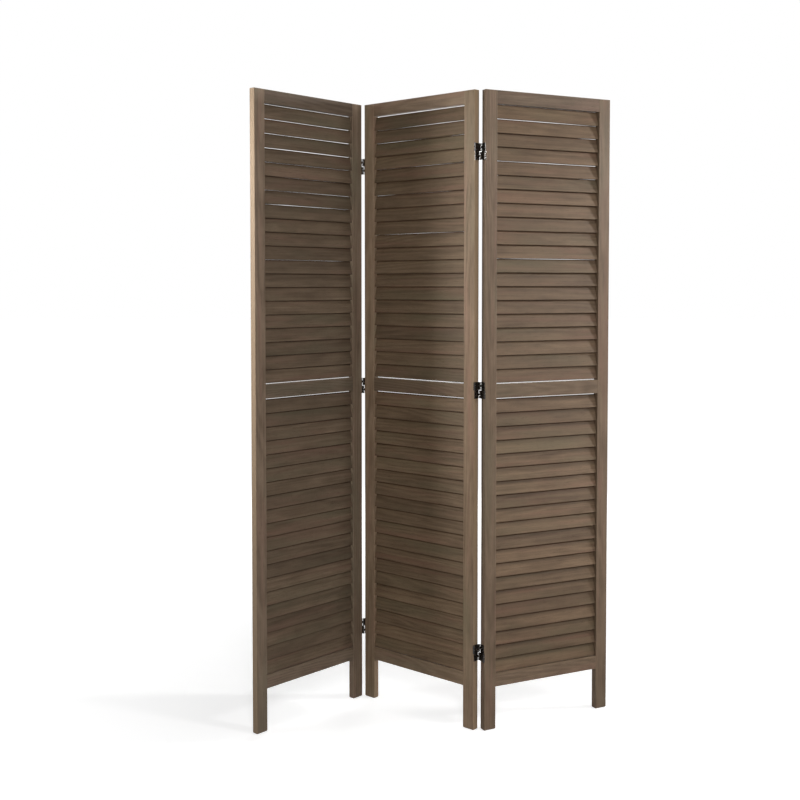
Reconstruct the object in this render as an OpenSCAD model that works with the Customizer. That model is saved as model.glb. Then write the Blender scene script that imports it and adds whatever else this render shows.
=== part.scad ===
// Folding room screen: three louvred panels joined by two-way hinges.
// Z is up, the front faces -Y, and the origin is the middle of the footprint on the floor.
// A panel's own frame has x along its width, y from its front face to its back, z up.

/* [Panels] */
// Width of one panel
panel_w = 400; // [250:5:600]
// Height of the screen
panel_h = 1700; // [1400:10:2000]
// Thickness of a panel
panel_t = 18; // [16:0.5:24]
// Width of an upright
stile_w = 36; // [32:1:60]
// Radius of the uprights' long edges
edge_r = 1; // [0.5:0.1:2.5]
// Bevel under each foot
foot_bevel = 2.5; // [1:0.5:5]

/* [Rails] */
// Clear height under the bottom rail
foot_h = 115; // [40:5:200]
// Height of the bottom rail
bottom_rail_h = 36.5; // [34:0.5:80]
// Height of the middle rail
mid_rail_h = 37.5; // [34:0.5:80]
// Height of the top rail
top_rail_h = 35; // [34:0.5:80]
// How far a rail's faces lie behind the uprights' faces
rail_inset = 0.3; // [0.1:0.1:1.5]

/* [Slats] */
// Slats in each of a panel's two fields
slat_count = 20; // [10:1:21]
// Width of a slat across its slope
slat_w = 37.2; // [30:0.2:40]
// Thickness of a slat
slat_t = 5; // [3:0.5:6]
// How far the slats' front edges lie behind the uprights' front face
slat_inset = 3.5; // [1:0.5:5]
// How far the slats' back edges lie in front of the uprights' back face
slat_back = 1; // [0.5:0.5:3]
// Radius of a slat's long edges
slat_edge_r = 0.8; // [0.4:0.1:1.2]
// Depth of the slanted grooves in the uprights
groove_depth = 8; // [5:0.5:12]
// Space between a slat's end and the bottom of its groove
slat_end_gap = 0.5; // [0.1:0.1:1.5]
// Space over the top slat of the left panel's upper field
left_top_space = 2.3; // [0.2:0.1:4]
// Space over the top slat of the centre panel's upper field
centre_top_space = 3.1; // [0.2:0.1:4]
// Space over the top slat of the right panel's upper field
right_top_space = 0.6; // [0.2:0.1:4]
// Space over the top slat of each lower field
lower_top_space = 2.4; // [0.2:0.1:4]
// Space under the last slat of each upper field
upper_end_space = 2.1; // [0.2:0.1:4]
// Space under the last slat of each lower field
lower_end_space = 0.3; // [0.2:0.1:4]

// One step of the small errors in the space between slats
seat_step = 0.1; // [0:0.02:0.16]

/* [Dowels] */
// Diameter of a dowel
dowel_d = 8; // [6:0.5:10]
// Length of a dowel
dowel_len = 34; // [20:1:34]
// Distance between a rail end's two dowels
dowel_spacing = 18; // [12:1:22]

/* [Hinges] */
// Height of a hinge
hinge_h = 44; // [36:1:70]
// Gap between two uprights when the screen stands flat
hinge_gap = 5.8; // [5.7:0.1:8]
// Distance of a hinge axis in front of or behind the panel's face
axis_out = 2.9; // [2.7:0.1:5]
// Diameter of a knuckle
barrel_d = 5; // [4.4:0.1:5.2]
// Diameter of a hinge pin
pin_d = 2.4; // [1.6:0.1:2.8]
// Thickness of a leaf
leaf_t = 1.1; // [0.9:0.1:1.4]
// Margin between a leaf's long edge and the upright's face
leaf_margin = 0.3; // [0.2:0.1:1]
// Thickness of a link
link_t = 1; // [0.8:0.1:1.4]
// Gap between a hinge's upper and lower halves
half_gap = 1.2; // [0.6:0.1:3]
// Gap between two knuckles of one axis
knuckle_gap = 0.4; // [0.2:0.1:0.8]

/* [Hinge places] */
// Height of the left joint's bottom hinge
left_hinge_low = 205; // [190:1:400]
// Drop of the left joint's middle hinge below the middle rail's centre
left_hinge_drop = 6; // [-30:1:30]
// Drop of the left joint's top hinge below the top
left_hinge_top = 174; // [80:1:400]
// Height of the right joint's bottom hinge
right_hinge_low = 209; // [190:1:400]
// Drop of the right joint's middle hinge below the middle rail's centre
right_hinge_drop = -3; // [-30:1:30]
// Drop of the right joint's top hinge below the top
right_hinge_top = 161; // [80:1:400]

/* [Screws] */
// Diameter of a hinge screw
screw_d = 2.5; // [2:0.1:3]
// Length of a hinge screw with its head
screw_len = 14; // [8:1:16]
// Diameter of a screw's countersunk head
head_d = 4.4; // [3.6:0.1:4.8]
// Distance of the outer screws from the hinge's middle
screw_far = 16; // [14:0.5:18]
// Distance of the inner screws from the hinge's middle
screw_near = 6; // [3:0.5:8]
// Distance of a screw from the leaf's middle line
screw_side = 3; // [0:0.5:4]

/* [Pose] */
// Turn of the centre panel from the screen's width
centre_turn = 42; // [10:1:60]
// Fold of the left panel, from flat, at rest
left_fold = 90; // [30:1:150]
// Fold of the right panel, from flat, at rest
right_fold = 69; // [30:1:150]

/* [Clearances] */
// Glue line between a rail and an upright, and under a leaf
glue_line = 0.05; // [0.02:0.01:0.2]
// Play of a slat in its groove, each side
groove_play = 0.15; // [0.05:0.05:0.3]
// Play of a dowel in its hole, each side
dowel_play = 0.1; // [0.05:0.05:0.3]
// Space past each end of a dowel
dowel_end_gap = 1; // [0.5:0.5:2]
// Play of a pin in the links' knuckles, each side
pin_hold = 0.02; // [0.01:0.01:0.04]
// Play of a pin in the leaves' knuckles, each side
pin_play = 0.06; // [0.03:0.01:0.1]
// Play round a screw, each side
screw_play = 0.05; // [0.02:0.01:0.1]
// Space between a link's plate and a turning knuckle
notch_space = 0.6; // [0.4:0.1:1]

/* [Hidden] */
$fn = 40;

wood = [0.43, 0.36, 0.29];
slat_wood = [0.39, 0.32, 0.26];
bare_wood = [0.78, 0.65, 0.47];
black_metal = [0.12, 0.11, 0.10];

// Panels by number
left = 0;
centre = 1;
right = 2;

// Rail heights, from the floor up
field_h = (panel_h - top_rail_h - mid_rail_h - bottom_rail_h - foot_h) / 2;
bottom_rail_z = foot_h;
lower_field_z = foot_h + bottom_rail_h;
mid_rail_z = lower_field_z + field_h;
top_rail_z = panel_h - top_rail_h;

// A slat leans back until it reaches from slat_inset behind the front to slat_back before the back
slat_depth = panel_t - slat_inset - slat_back;
slat_tilt = asin(slat_depth / norm([slat_w, slat_t])) - atan2(slat_t, slat_w);
slat_rise = slat_w * cos(slat_tilt) + slat_t * sin(slat_tilt);
top_spaces = [left_top_space, centre_top_space, right_top_space];

// Extra space under the first slats of each upper field, in steps, counted from the top
seat_steps = [
    [12, 13, 18, 4, 2, 7, 7, 0, 0, 0, 9],
    [4, 3, -3, 3, -2, 4, 1, 0, 8],
    [10, -3, -3, 10, 0, -1, 0, 0, 0, 0, 10]
];

// Rail ends and slat ends
inner_w = panel_w - 2 * stile_w;
rail_len = inner_w - 2 * glue_line;
slat_len = inner_w + 2 * (groove_depth - slat_end_gap);
rail_t = panel_t - 2 * rail_inset;

// Hinge halves and knuckles, measured up from a hinge's middle
half_w = hinge_gap / 2;
half_h = (hinge_h - half_gap) / 2;
knuckle_h = (half_h - 2 * knuckle_gap) / 3;
knuckle_step = knuckle_h + knuckle_gap;
half_z = half_gap / 2;
notch_r = barrel_d / 2 + notch_space;
front_axis = -axis_out;
back_axis = panel_t + axis_out;
mid_rail_middle = mid_rail_z + mid_rail_h / 2;
left_z = [left_hinge_low, mid_rail_middle - left_hinge_drop, panel_h - left_hinge_top];
right_z = [right_hinge_low, mid_rail_middle - right_hinge_drop, panel_h - right_hinge_top];
screw_spots = [
    [-screw_side, screw_far], [screw_side, screw_near],
    [screw_side, -screw_far], [-screw_side, -screw_near]
];

// Where the panels stand: the folds turn the wings about the hinge axes
function turned(angle, p) =
    [p.x * cos(angle) - p.y * sin(angle), p.x * sin(angle) + p.y * cos(angle)];
angles = [left_fold - centre_turn, -centre_turn, right_fold - centre_turn];
left_axis = turned(angles[centre], [-half_w, front_axis]);
right_axis = turned(angles[centre], [panel_w + half_w, back_axis]);
corners = [
    left_axis - turned(angles[left], [panel_w + half_w, front_axis]),
    [0, 0],
    right_axis - turned(angles[right], [-half_w, back_axis])
];
function on_panel(panel, p) = corners[panel] + turned(angles[panel], p);

// The footprint's middle, from the rounded corners and the outer knuckles
corner_spots = [
    for (panel = [left, centre, right])
        for (x = [edge_r, panel_w - edge_r], y = [edge_r, panel_t - edge_r])
            on_panel(panel, [x, y])
];
knuckle_spots = [
    for (y = [front_axis, back_axis])
        each [
            on_panel(left, [panel_w + half_w, y]), on_panel(centre, [-half_w, y]),
            on_panel(centre, [panel_w + half_w, y]), on_panel(right, [-half_w, y])
        ]
];
function low(axis) =
    min(min([for (p = corner_spots) p[axis]]) - edge_r,
        min([for (p = knuckle_spots) p[axis]]) - barrel_d / 2);
function high(axis) =
    max(max([for (p = corner_spots) p[axis]]) + edge_r,
        max([for (p = knuckle_spots) p[axis]]) + barrel_d / 2);
middle = [(low(0) + high(0)) / 2, (low(1) + high(1)) / 2];

module place(panel) {
    translate(concat(corners[panel] - middle, [0]))
        rotate([0, 0, angles[panel]])
            children();
}

module rounded(w, h, r) {
    translate([r, 0])
        square([w - 2 * r, h]);
    translate([0, r])
        square([w, h - 2 * r]);
    for (x = [r, w - r], y = [r, h - r])
        translate([x, y])
            circle(r);
}

// Height of a slat's lowest edge. Slat 0 is a field's top one.
function steps_over(panel, k) =
    k == 0 ? 0 : steps_over(panel, k - 1) + (k > len(seat_steps[panel]) ? 0 : seat_steps[panel][k - 1]);
function extra_over(panel, k) = seat_step * steps_over(panel, k);
function upper_space(panel) =
    field_h - slat_rise - top_spaces[panel] - upper_end_space - extra_over(panel, slat_count - 1);
function upper_pitch(panel) = upper_space(panel) / (slat_count - 1);
lower_pitch = (field_h - slat_rise - lower_top_space - lower_end_space) / (slat_count - 1);
function upper_slat_z(panel, k) =
    top_rail_z - top_spaces[panel] - slat_rise - k * upper_pitch(panel) - extra_over(panel, k);
function lower_slat_z(k) = mid_rail_z - lower_top_space - slat_rise - k * lower_pitch;

// Takes its children from the slat's own frame to slat height z
module slat_seat(z) {
    translate([0, slat_inset, z + slat_t * sin(slat_tilt)])
        rotate([-slat_tilt, 0, 0])
            children();
}

module slat(z) {
    slat_seat(z)
        translate([(panel_w - slat_len) / 2, 0, 0])
            rotate([90, 0, 90])
                linear_extrude(slat_len)
                    rounded(slat_t, slat_w, slat_edge_r);
}

module groove(x, z) {
    slat_seat(z)
        translate([x, -groove_play, -groove_play])
            cube([2 * groove_depth, slat_t + 2 * groove_play, slat_w + 2 * groove_play]);
}

module upper_slats(panel) {
    color(slat_wood)
        place(panel)
            for (k = [0 : slat_count - 1])
                slat(upper_slat_z(panel, k));
}

module lower_slats(panel) {
    color(slat_wood)
        place(panel)
            for (k = [0 : slat_count - 1])
                slat(lower_slat_z(k));
}

// Centres of a panel's dowels, at one of its inner faces
dowel_heights = [
    for (z = [bottom_rail_z + bottom_rail_h / 2, mid_rail_middle, top_rail_z + top_rail_h / 2])
        each [z - dowel_spacing / 2, z + dowel_spacing / 2]
];

module along_dowels(x, length, d) {
    for (z = dowel_heights)
        translate([x - length / 2, panel_t / 2, z])
            rotate([0, 90, 0])
                cylinder(h = length, d = d);
}

module dowel_holes(x) {
    along_dowels(x, dowel_len + 2 * dowel_end_gap, dowel_d + 2 * dowel_play);
}

module dowels(panel) {
    color(bare_wood)
        place(panel)
            for (x = [stile_w, panel_w - stile_w])
                along_dowels(x, dowel_len, dowel_d);
}

module rail(panel, z, height) {
    color(wood)
        place(panel)
            difference() {
                translate([stile_w + glue_line, rail_inset, z])
                    cube([rail_len, rail_t, height]);
                for (x = [stile_w, panel_w - stile_w])
                    dowel_holes(x);
            }
}

module top_rail(panel) {
    rail(panel, top_rail_z, top_rail_h);
}

module mid_rail(panel) {
    rail(panel, mid_rail_z, mid_rail_h);
}

module bottom_rail(panel) {
    rail(panel, bottom_rail_z, bottom_rail_h);
}

// Side view of an upright, bevelled at the foot
module upright_side(w) {
    polygon([
        [foot_bevel, 0], [w - foot_bevel, 0], [w, foot_bevel],
        [w, panel_h], [0, panel_h], [0, foot_bevel]
    ]);
}

module upright() {
    intersection() {
        linear_extrude(panel_h)
            rounded(stile_w, panel_t, edge_r);
        translate([0, panel_t, 0])
            rotate([90, 0, 0])
                linear_extrude(panel_t)
                    upright_side(stile_w);
        rotate([90, 0, 90])
            linear_extrude(stile_w)
                upright_side(panel_t);
    }
}

module slat_grooves(panel, x) {
    for (k = [0 : slat_count - 1]) {
        groove(x, upper_slat_z(panel, k));
        groove(x, lower_slat_z(k));
    }
}

module left_stile(panel, heights) {
    color(wood)
        place(panel)
            difference() {
                upright();
                slat_grooves(panel, stile_w - groove_depth);
                dowel_holes(stile_w);
                for (z = heights)
                    left_edge(z)
                        screws(screw_play);
            }
}

module right_stile(panel, heights) {
    color(wood)
        place(panel)
            difference() {
                translate([panel_w - stile_w, 0, 0])
                    upright();
                slat_grooves(panel, panel_w - stile_w - groove_depth);
                dowel_holes(panel_w - stile_w);
                for (z = heights)
                    right_edge(z)
                        screws(screw_play);
            }
}

// A hinge's own frame: x out from the upright's edge, y from the panel's front, z from its middle
module right_edge(z) {
    translate([panel_w, 0, z])
        children();
}

module left_edge(z) {
    translate([0, panel_t, z])
        rotate([0, 0, 180])
            children();
}

// The same place on a hinge's lower half, at the other face
module other_half() {
    translate([0, panel_t, 0])
        rotate([180, 0, 0])
            children();
}

module knuckle(y, k, d) {
    translate([half_w, y, half_z + k * knuckle_step])
        cylinder(h = knuckle_h, d = d);
}

module leaf_knuckle() {
    difference() {
        union() {
            knuckle(front_axis, 1, barrel_d);
            translate([glue_line, front_axis, half_z + knuckle_step])
                cube([leaf_t, axis_out + 2 * leaf_margin, knuckle_h]);
        }
        translate([half_w, front_axis, 0])
            cylinder(h = hinge_h, d = pin_d + 2 * pin_play);
    }
}

module screws(play) {
    for (spot = screw_spots)
        translate([glue_line + leaf_t, panel_t / 2 + spot[0], spot[1]])
            rotate([0, -90, 0])
                screw(play);
}

// A countersunk screw whose head is flush at z = 0
module screw(play) {
    head_h = (head_d - screw_d) / 2;
    cylinder(h = head_h, d1 = head_d + 2 * play, d2 = screw_d + 2 * play);
    cylinder(h = screw_len - screw_d + play, d = screw_d + 2 * play);
    translate([0, 0, screw_len - screw_d + play])
        cylinder(h = screw_d, d1 = screw_d + 2 * play, d2 = screw_d / 4);
}

module leaf() {
    color(black_metal) {
        difference() {
            translate([glue_line, leaf_margin, -hinge_h / 2])
                cube([leaf_t, panel_t - 2 * leaf_margin, hinge_h]);
            screws(screw_play);
        }
        leaf_knuckle();
        other_half()
            leaf_knuckle();
    }
}

module upper_link() {
    color(black_metal)
        difference() {
            union() {
                translate([half_w - link_t / 2, front_axis, half_z])
                    cube([link_t, panel_t + 2 * axis_out, half_h]);
                for (y = [front_axis, back_axis], k = [0, 2])
                    knuckle(y, k, barrel_d);
            }
            for (y = [front_axis, back_axis]) {
                translate([0, y - notch_r, half_z + knuckle_h])
                    cube([hinge_gap, 2 * notch_r, knuckle_h + 2 * knuckle_gap]);
                translate([half_w, y, 0])
                    cylinder(h = hinge_h, d = pin_d + 2 * pin_hold);
            }
        }
}

module lower_link() {
    other_half()
        upper_link();
}

module pin(y) {
    color(black_metal)
        translate([half_w, y, half_z])
            cylinder(h = half_h, d = pin_d);
}

// Two short pins that leave the leaf's knuckle free
module pin_stubs(y) {
    color(black_metal)
        for (k = [0, 2])
            knuckle(y, k, pin_d);
}

module upper_pins() {
    pin(front_axis);
    pin(back_axis);
}

// The lower half's full pin joins the link to the leaf on this side
module lower_pins() {
    other_half() {
        pin(front_axis);
        pin_stubs(back_axis);
    }
}

// The two sides of the left joint and of the right joint, at hinge height z
module left_wing_side(z) {
    place(left)
        right_edge(z)
            children();
}

module left_centre_side(z) {
    place(centre)
        left_edge(z)
            children();
}

module right_centre_side(z) {
    place(centre)
        right_edge(z)
            children();
}

module right_wing_side(z) {
    place(right)
        left_edge(z)
            children();
}

// At rest the left joint is folded about its front axis, so its upper links lie on the centre
// panel and its lower links on the wing. The right joint is folded about its back axis, so its
// upper links lie on the centre panel and its lower links on the wing too.
module left_upper_pins() {
    for (z = left_z)
        left_centre_side(z)
            upper_pins();
}

module left_lower_pins() {
    for (z = left_z)
        left_wing_side(z)
            lower_pins();
}

module right_upper_pins() {
    for (z = right_z)
        right_centre_side(z)
            upper_pins();
}

module right_lower_pins() {
    for (z = right_z)
        right_wing_side(z)
            lower_pins();
}

module left_wing_screws() {
    color(black_metal)
        for (z = left_z)
            left_wing_side(z)
                screws(0);
}

module left_centre_screws() {
    color(black_metal)
        for (z = left_z)
            left_centre_side(z)
                screws(0);
}

module right_centre_screws() {
    color(black_metal)
        for (z = right_z)
            right_centre_side(z)
                screws(0);
}

module right_wing_screws() {
    color(black_metal)
        for (z = right_z)
            right_wing_side(z)
                screws(0);
}

left_stile(left, []);  // left_panel_left_stile
right_stile(left, left_z);  // left_panel_right_stile
top_rail(left);  // left_panel_top_rail
mid_rail(left);  // left_panel_mid_rail
bottom_rail(left);  // left_panel_bottom_rail
upper_slats(left);  // left_panel_upper_slats
lower_slats(left);  // left_panel_lower_slats
dowels(left);  // left_panel_dowels
left_stile(centre, left_z);  // centre_panel_left_stile
right_stile(centre, right_z);  // centre_panel_right_stile
top_rail(centre);  // centre_panel_top_rail
mid_rail(centre);  // centre_panel_mid_rail
bottom_rail(centre);  // centre_panel_bottom_rail
upper_slats(centre);  // centre_panel_upper_slats
lower_slats(centre);  // centre_panel_lower_slats
dowels(centre);  // centre_panel_dowels
left_stile(right, right_z);  // right_panel_left_stile
right_stile(right, []);  // right_panel_right_stile
top_rail(right);  // right_panel_top_rail
mid_rail(right);  // right_panel_mid_rail
bottom_rail(right);  // right_panel_bottom_rail
upper_slats(right);  // right_panel_upper_slats
lower_slats(right);  // right_panel_lower_slats
dowels(right);  // right_panel_dowels
left_wing_side(left_z[0]) leaf();  // left_bottom_hinge_wing_leaf
left_centre_side(left_z[0]) leaf();  // left_bottom_hinge_centre_leaf
left_centre_side(left_z[0]) upper_link();  // left_bottom_hinge_upper_link
left_wing_side(left_z[0]) lower_link();  // left_bottom_hinge_lower_link
left_wing_side(left_z[1]) leaf();  // left_middle_hinge_wing_leaf
left_centre_side(left_z[1]) leaf();  // left_middle_hinge_centre_leaf
left_centre_side(left_z[1]) upper_link();  // left_middle_hinge_upper_link
left_wing_side(left_z[1]) lower_link();  // left_middle_hinge_lower_link
left_wing_side(left_z[2]) leaf();  // left_top_hinge_wing_leaf
left_centre_side(left_z[2]) leaf();  // left_top_hinge_centre_leaf
left_centre_side(left_z[2]) upper_link();  // left_top_hinge_upper_link
left_wing_side(left_z[2]) lower_link();  // left_top_hinge_lower_link
right_wing_side(right_z[0]) leaf();  // right_bottom_hinge_wing_leaf
right_centre_side(right_z[0]) leaf();  // right_bottom_hinge_centre_leaf
right_centre_side(right_z[0]) upper_link();  // right_bottom_hinge_upper_link
right_wing_side(right_z[0]) lower_link();  // right_bottom_hinge_lower_link
right_wing_side(right_z[1]) leaf();  // right_middle_hinge_wing_leaf
right_centre_side(right_z[1]) leaf();  // right_middle_hinge_centre_leaf
right_centre_side(right_z[1]) upper_link();  // right_middle_hinge_upper_link
right_wing_side(right_z[1]) lower_link();  // right_middle_hinge_lower_link
right_wing_side(right_z[2]) leaf();  // right_top_hinge_wing_leaf
right_centre_side(right_z[2]) leaf();  // right_top_hinge_centre_leaf
right_centre_side(right_z[2]) upper_link();  // right_top_hinge_upper_link
right_wing_side(right_z[2]) lower_link();  // right_top_hinge_lower_link
left_upper_pins();
left_lower_pins();
right_upper_pins();
right_lower_pins();
left_wing_screws();
left_centre_screws();
right_wing_screws();
right_centre_screws();
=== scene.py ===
import math
import random

import bmesh
import bpy
from mathutils import Euler, Matrix, Vector, noise


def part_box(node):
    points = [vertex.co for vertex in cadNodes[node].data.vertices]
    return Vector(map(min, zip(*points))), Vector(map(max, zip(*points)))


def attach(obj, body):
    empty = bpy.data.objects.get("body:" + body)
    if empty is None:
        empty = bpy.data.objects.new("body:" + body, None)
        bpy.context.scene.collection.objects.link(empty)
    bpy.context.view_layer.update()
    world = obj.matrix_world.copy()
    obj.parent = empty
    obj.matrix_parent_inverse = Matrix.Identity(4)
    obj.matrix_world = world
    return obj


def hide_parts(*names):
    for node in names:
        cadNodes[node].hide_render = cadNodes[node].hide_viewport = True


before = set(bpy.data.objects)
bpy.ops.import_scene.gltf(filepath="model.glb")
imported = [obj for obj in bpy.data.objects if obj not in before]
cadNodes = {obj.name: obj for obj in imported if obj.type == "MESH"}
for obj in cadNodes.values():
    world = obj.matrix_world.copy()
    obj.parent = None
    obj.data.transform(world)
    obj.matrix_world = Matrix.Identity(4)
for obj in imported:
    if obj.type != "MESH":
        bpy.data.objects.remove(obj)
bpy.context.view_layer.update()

sides = ["left", "centre", "right"]
print("frame loaded,", len(cadNodes), "CAD nodes")


def paint(red, green, blue):
    # a colour as it looks on screen, 0 to 255, made linear for a shader
    shares = [value / 255 for value in (red, green, blue)]
    return [s / 12.92 if s < 0.04045 else ((s + 0.055) / 1.055) ** 2.4 for s in shares] + [1]


def nodeMaker(tree):
    # add("Type", {socket: value or other socket}, setting=...) makes a node and wires it
    tree.nodes.clear()

    def add(kind, inputs=None, **settings):
        node = tree.nodes.new(kind)
        for key, value in settings.items():
            setattr(node, key, value)
        for socket, value in (inputs or {}).items():
            if isinstance(value, bpy.types.NodeSocket):
                tree.links.new(value, node.inputs[socket])
            else:
                node.inputs[socket].default_value = value
        return node

    return add


def newMaterial(name):
    material = bpy.data.materials.new(name)
    material.use_nodes = True
    return material, nodeMaker(material.node_tree)


def mixed(add, factor, first, second, kind="MIX"):
    inputs = {0: factor, 6: first, 7: second}
    return add("ShaderNodeMix", inputs, data_type="RGBA", blend_type=kind).outputs[2]


def sums(add, kind, first, second=0.0, clamp=False):
    return add("ShaderNodeMath", {0: first, 1: second}, operation=kind, use_clamp=clamp).outputs[0]


def scaled(add, kind, first, second=(0, 0, 0)):
    return add("ShaderNodeVectorMath", {0: first, 1: second}, operation=kind).outputs[0]


def ranged(add, value, low, high, toLow=0.0, toHigh=1.0):
    inputs = {0: value, 1: low, 2: high, 3: toLow, 4: toHigh}
    return add("ShaderNodeMapRange", inputs).outputs[0]


def split(add, vector):
    return add("ShaderNodeSeparateXYZ", {0: vector}).outputs


def grey(add, level):
    return add("ShaderNodeCombineColor", {0: level, 1: level, 2: level}).outputs[0]


def speckled(add, spot, scale, detail):
    # noise that is the same size in every direction
    inputs = {"Vector": spot, "Scale": scale, "Detail": detail}
    return add("ShaderNodeTexNoise", inputs).outputs["Fac"]


def weighted(add, layers, weights):
    total = 0
    for key, weight in weights.items():
        total = sums(add, "ADD", total, sums(add, "MULTIPLY", layers[key], weight))
    return total


def bumped(add, strength, distance, height):
    inputs = {"Strength": strength, "Distance": distance, "Height": height}
    return add("ShaderNodeBump", inputs).outputs[0]


def setSurface(add, inputs):
    shader = add("ShaderNodeBsdfPrincipled", inputs)
    add("ShaderNodeOutputMaterial", {"Surface": shader.outputs[0]})


def setMaterial(node, material):
    cadNodes[node].data.materials.clear()
    cadNodes[node].data.materials.append(material)


# Panels: a panel's own frame has x across it, y from front to back and z up, as it stands at rest
panel = {"depth": 0.018, "height": 1.7, "uprightWidth": 0.036, "railInset": 0.0003}


def panelFrame(side):
    ends = [sum(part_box(f"{side}_panel_{end}_stile"), Vector()) / 2 for end in ("left", "right")]
    across = ends[1] - ends[0]
    turn = Matrix.Rotation(math.atan2(across.y, across.x), 4, "Z")
    corner = Vector((panel["uprightWidth"], panel["depth"], panel["height"])) / 2
    return Matrix.Translation(ends[0] - turn @ corner) @ turn


panelFrames = {side: panelFrame(side) for side in sides}


# Wood: brown-grey stain over a straight grain, with faint arcs and reddish and green-grey clouds
wood = {
    "colours": {
        "dark": (87, 72, 58),
        "light": (129, 111, 93),
        "reddish": (125, 98, 85),
        "greenish": (102, 96, 78),
        # worn is also the colour of the painted light on some uprights' end faces
        "worn": (152, 131, 106),
        "pore": (58, 45, 35),
        # painted shade: the dark line where the next slat lies over a slat
        "paintedShade": (63, 37, 19),
    },
    "layers": {  # waves a metre along the grain and across it, finer detail and its share
        "streaks": (1.7, 190, 5, 0.66),
        "fibres": (9, 850, 3, 0.55),
        "pores": (46, 2300, 1, 0.55),
        "patches": (9, 30, 2, 0.55),
        "blotch": (3.4, 48, 3, 0.55),
        "cloud": (2.4, 14, 3, 0.55),
    },
    "grain": {"rings": 0.17, "streaks": 0.7, "fibres": 0.35, "patches": 0.55},
    "grainRange": (0.56, 1.2),  # the grain's values at the dark colour and at the light one
    "cloudRange": (0.52, 0.72, 0, 0.6),  # where red and green clouds start and end, least and most
    "poreRange": (0.6, 0.72),
    "poreDarkness": 0.55,
    "boardSeeds": (2, 9),  # metres by which a board's grain is shifted, so that none look alike
    "ringSpacing": 0.0065,
    "ringSway": (3.2, 16, 3, 0.024),  # waves a metre along and across, finer detail, how far
    "ringLean": (0.05, 0.09),  # radians between the rings' heart and the board, to either side
    "heartDepth": (0.012, 0.04),  # of the heart from the board's middle
    "heartAside": 0.012,
    "heartTilt": 0.02,  # radians between the heart and the board, in depth
    "ownTone": (0.86, 1.14),  # of a slat, against the rest of its field
    "paintedShadeBand": (0.0048, 0.003),  # from a slat's long edge, where the painted shade starts and is full
    # from a slat's long edge, where the painted shadow starts and is full
    "paintedShadowBand": (0.015, 0.008),
    "wornWidth": 0.0009,
    "wornPatches": (0.35, 0.65),
    "wornLeast": 0.15,
    # from an upright's side, where the painted light on its end face starts and is full
    "paintedEndLightBand": (0.0009, 0.0002),
    "roughness": 0.58,
    "fibreRoughness": 0.22,
    "poreRoughness": 0.2,
    "specular": 0.15,
    "relief": {"fibres": 0.5, "streaks": 0.5, "pores": -0.7},
    "bumpStrength": 0.5,
    "bumpHeight": 0.0003,
}


def boardSpot(add, place, draw):
    # where a point lies on its board, with x along the grain, and the board's seed
    if place is None:
        spot = add("ShaderNodeAttribute", attribute_name="boardPlace").outputs["Vector"]
        seed = add("ShaderNodeAttribute", attribute_name="boardSeed").outputs["Vector"]
        return spot, seed
    spot = add("ShaderNodeTexCoord").outputs["Object"]
    mapping = {"Vector": spot, "Location": place.translation, "Rotation": place.to_euler()}
    spot = add("ShaderNodeMapping", mapping, vector_type="TEXTURE").outputs[0]
    return spot, [draw.uniform(*wood["boardSeeds"]) for axis in range(3)]


def drawnOut(add, spot, along, across, detail, roughness):
    # noise drawn out along the grain
    stretched = scaled(add, "MULTIPLY", spot, (along, across, across))
    inputs = {"Vector": stretched, "Scale": 1, "Detail": detail, "Roughness": roughness}
    return add("ShaderNodeTexNoise", inputs).outputs["Fac"]


def growthRings(add, spot, seed, arcs, isSlat, draw):
    # rings about a heart that lies askew under the board, swaying along the grain
    along, across, detail, reach = wood["ringSway"]
    waves = scaled(add, "MULTIPLY", scaled(add, "ADD", spot, seed), (along, across, across))
    inputs = {"Vector": waves, "Scale": 1, "Detail": detail}
    waves = add("ShaderNodeTexNoise", inputs).outputs["Color"]
    bent = scaled(add, "ADD", spot, scaled(add, "MULTIPLY", waves, (reach, reach, reach)))
    lean = draw.choice((-1, 1)) * draw.uniform(*wood["ringLean"]) * arcs
    if isSlat:
        # every slat's grain leans its own way
        slope = ranged(add, sums(add, "FRACT", split(add, seed)[2]), 0, 1, -lean, lean)
        slope = sums(add, "MULTIPLY", split(add, spot)[0], slope)
        bent = scaled(add, "ADD", bent, add("ShaderNodeCombineXYZ", {2: slope}).outputs[0])
        lean = 0
    depth = draw.uniform(*wood["heartDepth"])
    aside = draw.uniform(-wood["heartAside"], wood["heartAside"])
    tilt = draw.uniform(-wood["heartTilt"], wood["heartTilt"]) * arcs
    inputs = {"Vector": bent, "Location": (0, depth, aside), "Rotation": (0, tilt, lean)}
    heart = add("ShaderNodeMapping", inputs).outputs[0]
    scale = 2 * math.pi / 20 / wood["ringSpacing"]  # the node's own rings are 2 pi / 20 apart
    return add(
        "ShaderNodeTexWave", {"Vector": heart, "Scale": scale},
        wave_type="RINGS", rings_direction="X", wave_profile="SIN",
    ).outputs["Fac"]


def slatToneAndPaintedShade(add, colour, paintedShadeColour, spot, seed, half, paintedShades):
    # each slat has its own tone, from its seed
    own = sums(add, "FRACT", split(add, seed)[1])
    colour = mixed(add, 1, colour, grey(add, ranged(add, own, 0, 1, *wood["ownTone"])), "MULTIPLY")
    # painted shade where the next slat covers it: in front near its top, at the back near its
    # bottom
    x, y, z = split(add, spot)
    out = sums(add, "MULTIPLY", sums(add, "MULTIPLY", y, z), -1 / half[1])
    paintedShade, paintedShadow = [
        ranged(add, out, half[2] - start, half[2] - full, 0, strength)
        for (start, full), strength in zip((wood["paintedShadeBand"], wood["paintedShadowBand"]), paintedShades)
    ]
    # painted shadow: a soft darkening just past the painted shade, for the shadow the next slat
    # casts
    colour = mixed(add, paintedShadow, colour, (0, 0, 0, 1))
    return mixed(add, paintedShade, colour, paintedShadeColour)


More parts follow.
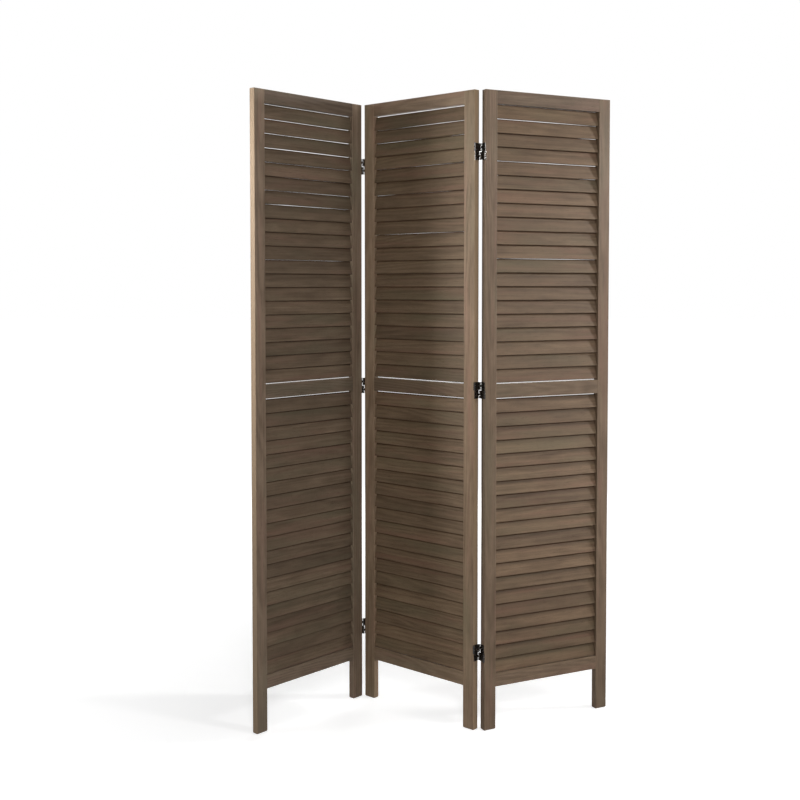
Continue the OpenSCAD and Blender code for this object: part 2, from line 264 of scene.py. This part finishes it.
def rubbedEdgesAndEndLight(add, colour, wornAndLitColour, spot, blotch, half, worn, pale):
    # paler where the edges are rubbed: the middle one of the distances to the board's three sides
    x, y, z = split(add, scaled(add, "SUBTRACT", half, scaled(add, "ABSOLUTE", spot)))
    nearest = sums(add, "MINIMUM", sums(add, "MAXIMUM", x, y), z)
    nearest = sums(add, "MAXIMUM", sums(add, "MINIMUM", x, y), nearest)
    share = ranged(add, blotch, *wood["wornPatches"], wood["wornLeast"] * worn, worn)
    rubbed = sums(add, "MULTIPLY", ranged(add, nearest, wood["wornWidth"], 0), share)
    colour = mixed(add, rubbed, colour, wornAndLitColour)
    # painted light: an upright's end face made paler, as though lit
    if pale:
        start, full = wood["paintedEndLightBand"]
        aside = sums(add, "MULTIPLY", split(add, spot)[2], math.copysign(1, pale))
        edge = ranged(add, aside, half[2] - start, half[2] - full, 0, abs(pale))
        colour = mixed(add, edge, colour, wornAndLitColour)
    return colour


def woodMaterial(name, half, tint, place=None, arcs=0.5, worn=0.5, pale=0, paintedShades=(0, 0)):
    # half: the board's half length, half depth and half width. tint: a factor on its red, green and
    # blue. place: a CAD board's frame, with x along the grain, or None to read boardPlace and
    # boardSeed from the piece. pale: how much paler its left edge is, or its right one if negative,
    # as painted light on that end face.
    # The painted shades: how much a slat is darkened by painted shade where the next one covers it,
    # and by painted shadow just past that
    material, add = newMaterial(name)
    draw = random.Random(name)
    spot, seed = boardSpot(add, place, draw)
    shifted = scaled(add, "ADD", spot, seed)
    layers = {key: drawnOut(add, shifted, *values) for key, values in wood["layers"].items()}
    layers["rings"] = growthRings(add, spot, seed, arcs, place is None, draw)
    layers["pores"] = ranged(add, layers["pores"], *wood["poreRange"])
    colours = {
        key: [a * b for a, b in zip(paint(*value), (*tint, 1))]
        for key, value in wood["colours"].items()
    }

    shade = ranged(add, weighted(add, layers, wood["grain"]), *wood["grainRange"])
    colour = mixed(add, shade, colours["dark"], colours["light"])
    for layer, cloudColour in (("blotch", "reddish"), ("cloud", "greenish")):
        clouded = ranged(add, layers[layer], *wood["cloudRange"])
        colour = mixed(add, clouded, colour, colours[cloudColour])
    if place is None:
        colour = slatToneAndPaintedShade(add, colour, colours["paintedShade"], spot, seed, half, paintedShades)
    darkness = sums(add, "MULTIPLY", layers["pores"], wood["poreDarkness"])
    colour = mixed(add, darkness, colour, colours["pore"])
    colour = rubbedEdgesAndEndLight(add, colour, colours["worn"], spot, layers["blotch"], half, worn, pale)

    rough = sums(add, "MULTIPLY", layers["fibres"], wood["fibreRoughness"])
    rough = sums(add, "ADD", rough, wood["roughness"] - wood["fibreRoughness"] / 2)
    poreRough = sums(add, "MULTIPLY", layers["pores"], wood["poreRoughness"])
    relief = weighted(add, layers, wood["relief"])
    setSurface(add, {
        "Base Color": colour,
        "Roughness": sums(add, "ADD", rough, poreRough, clamp=True),
        "Normal": bumped(add, wood["bumpStrength"], wood["bumpHeight"], relief),
        "Specular IOR Level": wood["specular"],
    })
    return material


# level: partly the board's own lightness and partly painted light and shade
def boardTint(shares, level):
    return [level * share for share in shares]


# Uprights and rails: stained all over, and the uprights' edges are rounded off
boards = {
    "tints": {  # how red, green and blue each panel's boards are against the colours above
        "left": (1.0, 1, 1.02),
        "centre": (1.03, 1, 0.94),
        "right": (1.04, 1, 0.96),
    },
    "finishes": {  # which way the grain runs, how far its arcs spread, how light each panel's is: partly the board's own tone and partly painted light and shade
        "left_stile": ("up", 0.5, (0.95, 1.2, 0.73)),
        "right_stile": ("up", 0.4, (1.02, 1.08, 0.75)),
        "top_rail": ("across", 0.8, (0.56, 0.94, 0.58)),
        "mid_rail": ("across", 1.3, (0.66, 0.66, 0.71)),
        "bottom_rail": ("across", 1.0, (0.82, 1.04, 0.79)),
    },
    # how much painted light these uprights' end faces get, at the left end, or at the right one if
    # negative
    "paintedEndLight": {"left_panel_left_stile": 0.8, "centre_panel_right_stile": -0.4},
    "softEdge": 0.0009,  # of the uprights
    "softSegments": 3,
    "softAngle": 60,  # degrees, past which an edge is softened
    "weldGap": 0.00001,
}


def boardFrame(side, middle, lengthwise):
    # a CAD board's frame: x along the grain, y from front to back
    turn = panelFrames[side].to_3x3()
    if lengthwise == "up":
        axes = (turn.col[2], turn.col[1], -turn.col[0])
    else:
        axes = (turn.col[0], turn.col[1], turn.col[2])
    return Matrix.Translation(middle) @ Matrix(axes).transposed().to_4x4()


def softenEdges(node):
    weld = cadNodes[node].modifiers.new("weld", "WELD")
    weld.merge_threshold = boards["weldGap"]
    soften = cadNodes[node].modifiers.new("soften", "BEVEL")
    soften.width = boards["softEdge"]
    soften.segments = boards["softSegments"]
    soften.limit_method = "ANGLE"
    soften.angle_limit = math.radians(boards["softAngle"])


def finishBoard(side, board):
    node = f"{side}_panel_{board}"
    lengthwise, arcs, tonesAndLight = boards["finishes"][board]
    low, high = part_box(node)
    if lengthwise == "up":
        half = ((high - low).z / 2, panel["depth"] / 2, panel["uprightWidth"] / 2)
        softenEdges(node)
    else:
        # its ends are hidden, so its length is set far past them
        half = (9, panel["depth"] / 2 - panel["railInset"], (high - low).z / 2)
    place = boardFrame(side, (low + high) / 2, lengthwise)
    tint = boardTint(boards["tints"][side], tonesAndLight[sides.index(side)])
    pale = boards["paintedEndLight"].get(node, 0)
    setMaterial(node, woodMaterial(f"{node}_wood", half, tint, place, arcs, pale=pale))


for side in sides:
    for board in boards["finishes"]:
        finishBoard(side, board)
print("uprights and rails finished")


# Slats: each one a little bowed, twisted and uneven, as thin boards are
slat = {
    "length": 0.343,
    "width": 0.0372,
    "depth": 0.005,
    "frontInset": 0.0035,  # of its front edge from the panel's front
    "backInset": 0.001,
    "edgeRadius": 0.0008,
    "edgeSegments": 2,
    "cuts": 15,  # along its length
    "bow": 0.0001,
    "twist": 0.2,  # degrees from end to end
    "unevenness": 0.0001,
    "unevenWaves": (14, 40),  # a metre, along the slat and across it
    "endFade": 20,  # how close to its ends the slat comes back to its true line
    "seeds": (2, 60),  # metres by which a slat's grain is shifted
    "arcs": 0.9,
    "worn": 0.12,
    "tints": {  # how red, green and blue each panel's slats are
        "left": (1.02, 1, 0.95),
        "centre": (1.06, 1, 0.88),
        "right": (1.1, 1, 0.87),
    },
    "finishes": {  # a field's level, partly its slats' own tone and partly painted light and shade, then how much painted shade darkens its slats where one lies over the next, and how much painted shadow just past that
        "left_upper": (0.58, 0.42, 0),
        "left_lower": (0.595, 0.57, 0),
        "centre_upper": (0.6, 0.45, 0),
        "centre_lower": (0.76, 0.62, 0),
        "right_upper": (0.575, 0.48, 0.05),
        "right_lower": (0.63, 0.62, 0.25),
    },
    "topRise": {"left": 0.9, "centre": 1.3, "right": 0.4},  # of a panel's first upper edge, in mm
    "restRise": -0.2,  # of the lower edges of the slats that aren't listed below, in mm
    "edgeRise": {  # of a slat's lower edge, in mm, at five places from left to right, by its number
        "left_upper": {
            0: (-0.8, -0.5, -0.6, -0.5, -0.4),
            1: (-0.8, -1.0, -0.7, -0.6, -0.2),
            2: (-1.2, -0.4, -0.4, -0.6, -1.1),
            5: (-0.4, -0.3, 0, 0, -0.3),
            6: (-0.7, 0.4, 0, -0.2, -0.5),
            10: (-0.3, -0.2, -0.2, 0, -0.7),
        },
        "centre_upper": {
            0: (-0.8, -0.8, -0.3, 0.2, -0.5),
            1: (-0.5, -0.3, -0.7, -0.9, -0.4),
            3: (-0.6, -0.6, -0.5, -0.4, -0.6),
            5: (0, -0.5, -0.4, -0.4, -0.7),
            8: (-0.9, -0.5, -0.1, -0.5, -0.7),
        },
        "right_upper": {
            0: (-0.7, -0.4, -0.3, -0.9, -1.7),
            1: (-0.2, -0.2, -0.2, -0.3, 1.1),
            3: (-0.9, -0.6, 0, -0.4, -0.1),
            4: (-0.4, -0.3, -0.3, -0.4, 0.6),
            10: (-0.9, -0.3, 0, -0.1, -0.9),
        },
    },
}


def longEdges(bm):
    return [e for e in bm.edges if abs(e.verts[0].co.x - e.verts[1].co.x) > slat["length"] / 2]


def slatTemplate():
    bm = bmesh.new()
    bmesh.ops.create_cube(bm, size=1)
    bmesh.ops.scale(bm, vec=(slat["length"], slat["depth"], slat["width"]), verts=bm.verts)
    bmesh.ops.bevel(
        bm, geom=longEdges(bm), offset=slat["edgeRadius"], segments=slat["edgeSegments"],
        profile=0.5, affect="EDGES", material=-1,
    )
    bmesh.ops.subdivide_edges(bm, edges=longEdges(bm), cuts=slat["cuts"], use_grid_fill=True)
    mesh = bpy.data.meshes.new("slatTemplate")
    bm.to_mesh(mesh)
    bm.free()
    return mesh


def islandMiddles(node):
    # the middles of a CAD node's separate solids
    bm = bmesh.new()
    bm.from_mesh(cadNodes[node].data)
    bmesh.ops.remove_doubles(bm, verts=bm.verts, dist=1e-6)
    waiting = set(bm.verts)
    middles = []
    while waiting:
        island, edge = set(), [waiting.pop()]
        while edge:
            vert = edge.pop()
            island.add(vert)
            near = {e.other_vert(vert) for e in vert.link_edges} & waiting
            waiting -= near
            edge.extend(near)
        points = [v.co for v in island]
        low = Vector([min(p[axis] for p in points) for axis in range(3)])
        high = Vector([max(p[axis] for p in points) for axis in range(3)])
        middles.append((low + high) / 2)
    bm.free()
    return middles


def riseAt(rises, reach):
    # between the five places that rises gives; reach goes from -1 at the left end to 1
    place = 2 + 2 * reach
    first = min(int(place), 3)
    share = place - first
    return (rises[first] * (1 - share) + rises[first + 1] * share) / 1000


def unevenSlat(verts, layers, topRise, rises, draw):
    # bends one slat that still lies at the origin, and notes where each point was on it
    placeLayer, seedLayer = layers
    bow = draw.uniform(-1, 1) * slat["bow"]
    twist = math.radians(draw.uniform(-0.5, 0.5) * slat["twist"])
    seed = Vector([draw.uniform(*slat["seeds"]) for axis in range(3)])
    along, across = slat["unevenWaves"]
    for vert in verts:
        vert[placeLayer] = vert.co
        vert[seedLayer] = seed
        reach = 2 * vert.co.x / slat["length"]
        spot = Vector((vert.co.x * along, seed.y, vert.co.z * across))
        wave = noise.noise(spot) * slat["unevenness"]
        wave += riseAt(rises, reach) if vert.co.z < 0 else topRise
        vert.co = Matrix.Rotation(twist * reach, 3, "X") @ vert.co
        vert.co.z += (bow * (1 - reach * reach) + wave) * (1 - abs(reach) ** slat["endFade"])


slatRoom = panel["depth"] - slat["frontInset"] - slat["backInset"]
slatTilt = math.asin(slatRoom / math.hypot(slat["width"], slat["depth"]))
slatTilt -= math.atan2(slat["depth"], slat["width"])
slatHalf = (9, slat["depth"] / 2, slat["width"] / 2)  # its ends are hidden in the grooves
slatMesh = slatTemplate()


def slatField(side, field):
    node = f"{side}_panel_{field}_slats"
    # the level is partly the slats' own tone and partly painted light and shade
    level, *paintedShades = slat["finishes"][f"{side}_{field}"]
    edgeRises = slat["edgeRise"].get(f"{side}_{field}", {})
    draw = random.Random(node)
    toPanel = panelFrames[side].inverted()
    middles = sorted((toPanel @ m for m in islandMiddles(node)), key=lambda m: -m.z)
    bm = bmesh.new()
    layers = [bm.verts.layers.float_vector.new(name) for name in ("boardPlace", "boardSeed")]
    lean = Matrix.Rotation(-slatTilt, 4, "X")
    for number, middle in enumerate(middles):
        isFirst = field == "upper" and number == 0
        topRise = slat["topRise"][side] / 1000 if isFirst else 0
        before = len(bm.verts)
        bm.from_mesh(slatMesh)
        bm.verts.ensure_lookup_table()
        own = bm.verts[before:]
        unevenSlat(own, layers, topRise, edgeRises.get(number, [slat["restRise"]] * 5), draw)
        bmesh.ops.transform(bm, matrix=Matrix.Translation(middle) @ lean, verts=own)
    bmesh.ops.transform(bm, matrix=panelFrames[side], verts=bm.verts)
    mesh = bpy.data.meshes.new(node)
    bm.to_mesh(mesh)
    bm.free()
    mesh.materials.append(woodMaterial(
        f"{side}{field.capitalize()}SlatWood", slatHalf, boardTint(slat["tints"][side], level),
        arcs=slat["arcs"], worn=slat["worn"], paintedShades=paintedShades,
    ))
    piece = bpy.data.objects.new(f"{side}{field.capitalize()}Slats", mesh)
    bpy.context.scene.collection.objects.link(piece)
    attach(piece, f"{side}_panel")
    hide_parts(node)


for side in sides:
    for field in ("upper", "lower"):
        slatField(side, field)
bpy.data.meshes.remove(slatMesh)
print("slats made")


# Dowels: bare beech, hidden in the joints
dowel = {
    "pale": (203, 172, 128),
    "deep": (170, 136, 95),
    "flecks": (420, 4),  # how many a metre, and how much finer detail
    "fleckRange": (0.35, 0.7),
    "roughness": 0.7,
    "bumpStrength": 0.3,
    "bumpHeight": 0.0002,
}


def dowelMaterial():
    material, add = newMaterial("dowelWood")
    spot = add("ShaderNodeTexCoord").outputs["Object"]
    flecks = speckled(add, spot, *dowel["flecks"])
    share = ranged(add, flecks, *dowel["fleckRange"])
    setSurface(add, {
        "Base Color": mixed(add, share, paint(*dowel["pale"]), paint(*dowel["deep"])),
        "Roughness": dowel["roughness"],
        "Normal": bumped(add, dowel["bumpStrength"], dowel["bumpHeight"], flecks),
    })
    return material


dowelWood = dowelMaterial()
for side in sides:
    setMaterial(f"{side}_panel_dowels", dowelWood)
print("dowels finished")


# Hinges: black lacquered steel, brown where it is rubbed
hinge = {
    "black": (30, 25, 21),
    "brown": (66, 52, 40),
    "mottle": (190, 4),  # how many patches a metre, and how much finer detail
    "brownRange": (0.52, 0.74),  # the mottle's values at which black ends and brown is full
    "roughness": {"leaf": 0.24, "link": 0.2, "pins": 0.16, "screws": 0.28},
    "roughRange": (0.3, 0.7, -0.07, 0.1),  # the mottle's values, and what they add to roughness
    "metallic": 0.35,
    "specular": 0.6,
    "lacquerSkin": (1500, 2),
    "lacquerStrength": 0.5,
    "lacquerBump": 0.00006,
}


def hingeMaterial(name, roughness):
    material, add = newMaterial(name)
    spot = add("ShaderNodeTexCoord").outputs["Object"]
    mottle = speckled(add, spot, *hinge["mottle"])
    skin = speckled(add, spot, *hinge["lacquerSkin"])
    share = ranged(add, mottle, *hinge["brownRange"])
    low, high, less, more = hinge["roughRange"]
    setSurface(add, {
        "Base Color": mixed(add, share, paint(*hinge["black"]), paint(*hinge["brown"])),
        "Roughness": ranged(add, mottle, low, high, roughness + less, roughness + more),
        "Normal": bumped(add, hinge["lacquerStrength"], hinge["lacquerBump"], skin),
        "Metallic": hinge["metallic"],
        "Specular IOR Level": hinge["specular"],
    })
    return material


metals = {}
for ending, material in (("leaf", "hingeMetal"), ("link", "linkMetal"), ("pins", "pinMetal"),
                         ("screws", "screwMetal")):
    metals[ending] = hingeMaterial(material, hinge["roughness"][ending])
for node in cadNodes:
    ending = node.split("_")[-1]
    if ending in metals:
        setMaterial(node, metals[ending])
print("hinges finished")


# Floor and light: a white sweep and soft lamps
studio = {
    "floorHalf": 40,
    "floorGrey": 0.8,
    "floorSeen": 0.7,  # how much of its own light and shade the camera sees
    "floorGlow": (0.61, 0.96),  # what it glows with near the screen and far from it
    "glowReach": (0.6, 2.2),
    "worldLight": 0.09,
    "lamps": {  # place, what it points at, size, watts and how wide its beam opens in degrees
        "frontLamp": ((0, -3.4, 2.0), (0, 0, 0.9), 0.8, 56, 180),
        "frontLeftLamp": ((-1.0, -2.6, 1.7), (-0.2, 0.05, 1.35), 0.5, 0.3, 30),
        "frontRightLamp": ((2.35, -1.55, 2.0), (0, -0.1, 1.2), 0.4, 25, 180),
        "rightHighLamp": ((2.3, 0.2, 1.75), (0.3, 0, 1.45), 0.25, 4.3, 50),
        "rightLowLamp": ((2.3, 0.15, 1.1), (0.3, 0, 0.45), 0.25, 2.6, 50),
        "backLamp": ((0.4, 3.5, 1.3), (0, 0, 0.9), 1.2, 40, 180),
        "topLamp": ((0.2, -0.3, 3.6), (0, 0, 1.7), 1.0, 12, 180),
        "leftHighLamp": ((-1.45, -0.42, 1.7), (-0.35, -0.15, 1.55), 0.3, 1.0, 45),
        "leftLowLamp": ((-1.9, -0.45, 1.5), (0.05, -0.1, 0.9), 0.3, 3.2, 60),
    },
}


def seenRays(add):
    # 1 for the rays that see the white background, and 0 for those that light the object
    rays = add("ShaderNodeLightPath").outputs
    seen = sums(add, "MAXIMUM", rays["Is Camera Ray"], rays["Is Glossy Ray"])
    return sums(add, "MAXIMUM", seen, rays["Is Transmission Ray"])


def makeFloor():
    bm = bmesh.new()
    bmesh.ops.create_grid(bm, x_segments=2, y_segments=2, size=studio["floorHalf"])
    mesh = bpy.data.meshes.new("floor")
    bm.to_mesh(mesh)
    bm.free()
    material, add = newMaterial("floorPaper")
    seen = seenRays(add)
    shade = grey(add, ranged(add, seen, 0, 1, studio["floorGrey"], studio["floorSeen"]))
    paper = add("ShaderNodeBsdfDiffuse", {"Color": shade})
    spot = add("ShaderNodeTexCoord").outputs["Object"]
    away = add("ShaderNodeVectorMath", {0: spot}, operation="LENGTH").outputs["Value"]
    glow = ranged(add, away, *studio["glowReach"], *studio["floorGlow"])
    glow = add("ShaderNodeEmission", {"Strength": sums(add, "MULTIPLY", seen, glow)})
    both = add("ShaderNodeAddShader", {0: paper.outputs[0], 1: glow.outputs[0]})
    add("ShaderNodeOutputMaterial", {"Surface": both.outputs[0]})
    mesh.materials.append(material)
    floor = bpy.data.objects.new("floor", mesh)
    bpy.context.scene.collection.objects.link(floor)


def makeWorld():
    world = bpy.data.worlds.new("studioWorld")
    world.use_nodes = True
    add = nodeMaker(world.node_tree)
    level = ranged(add, seenRays(add), 0, 1, studio["worldLight"], 1)
    sky = add("ShaderNodeBackground", {"Color": (1, 1, 1, 1), "Strength": level})
    add("ShaderNodeOutputWorld", {0: sky.outputs[0]})
    bpy.context.scene.world = world


def makeLamps():
    for name, (place, target, size, watts, opening) in studio["lamps"].items():
        light = bpy.data.lights.new(name, "AREA")
        light.size = size
        light.energy = watts
        light.spread = math.radians(opening)
        lamp = bpy.data.objects.new(name, light)
        lamp.location = place
        lamp.rotation_euler = (Vector(target) - Vector(place)).to_track_quat("-Z", "Y").to_euler()
        bpy.context.scene.collection.objects.link(lamp)


makeFloor()
makeWorld()
makeLamps()
print("floor and lamps set")


# Camera: where the photograph was taken from
view = {
    "place": (-0.0879, -3.2047, 1.1827),
    "pitchDown": 2.399,
    "turn": 0.079,
    "focalPixels": 1168.9,
    "middlePixels": (401.0, 336.5),
    "imagePixels": 800,
    "sensorWidth": 36,
}


def makeCamera():
    camera = bpy.data.cameras.new("camera")
    camera.sensor_width = view["sensorWidth"]
    camera.lens = view["focalPixels"] / view["imagePixels"] * view["sensorWidth"]
    camera.shift_x = (view["imagePixels"] / 2 - view["middlePixels"][0]) / view["imagePixels"]
    camera.shift_y = (view["middlePixels"][1] - view["imagePixels"] / 2) / view["imagePixels"]
    cameraObject = bpy.data.objects.new("camera", camera)
    cameraObject.location = view["place"]
    pitch, turn = math.radians(90 - view["pitchDown"]), math.radians(view["turn"])
    cameraObject.rotation_euler = Euler((pitch, 0, turn))
    bpy.context.scene.collection.objects.link(cameraObject)
    bpy.context.scene.camera = cameraObject


makeCamera()
bpy.context.scene.view_settings.view_transform = "Standard"
print("camera set")
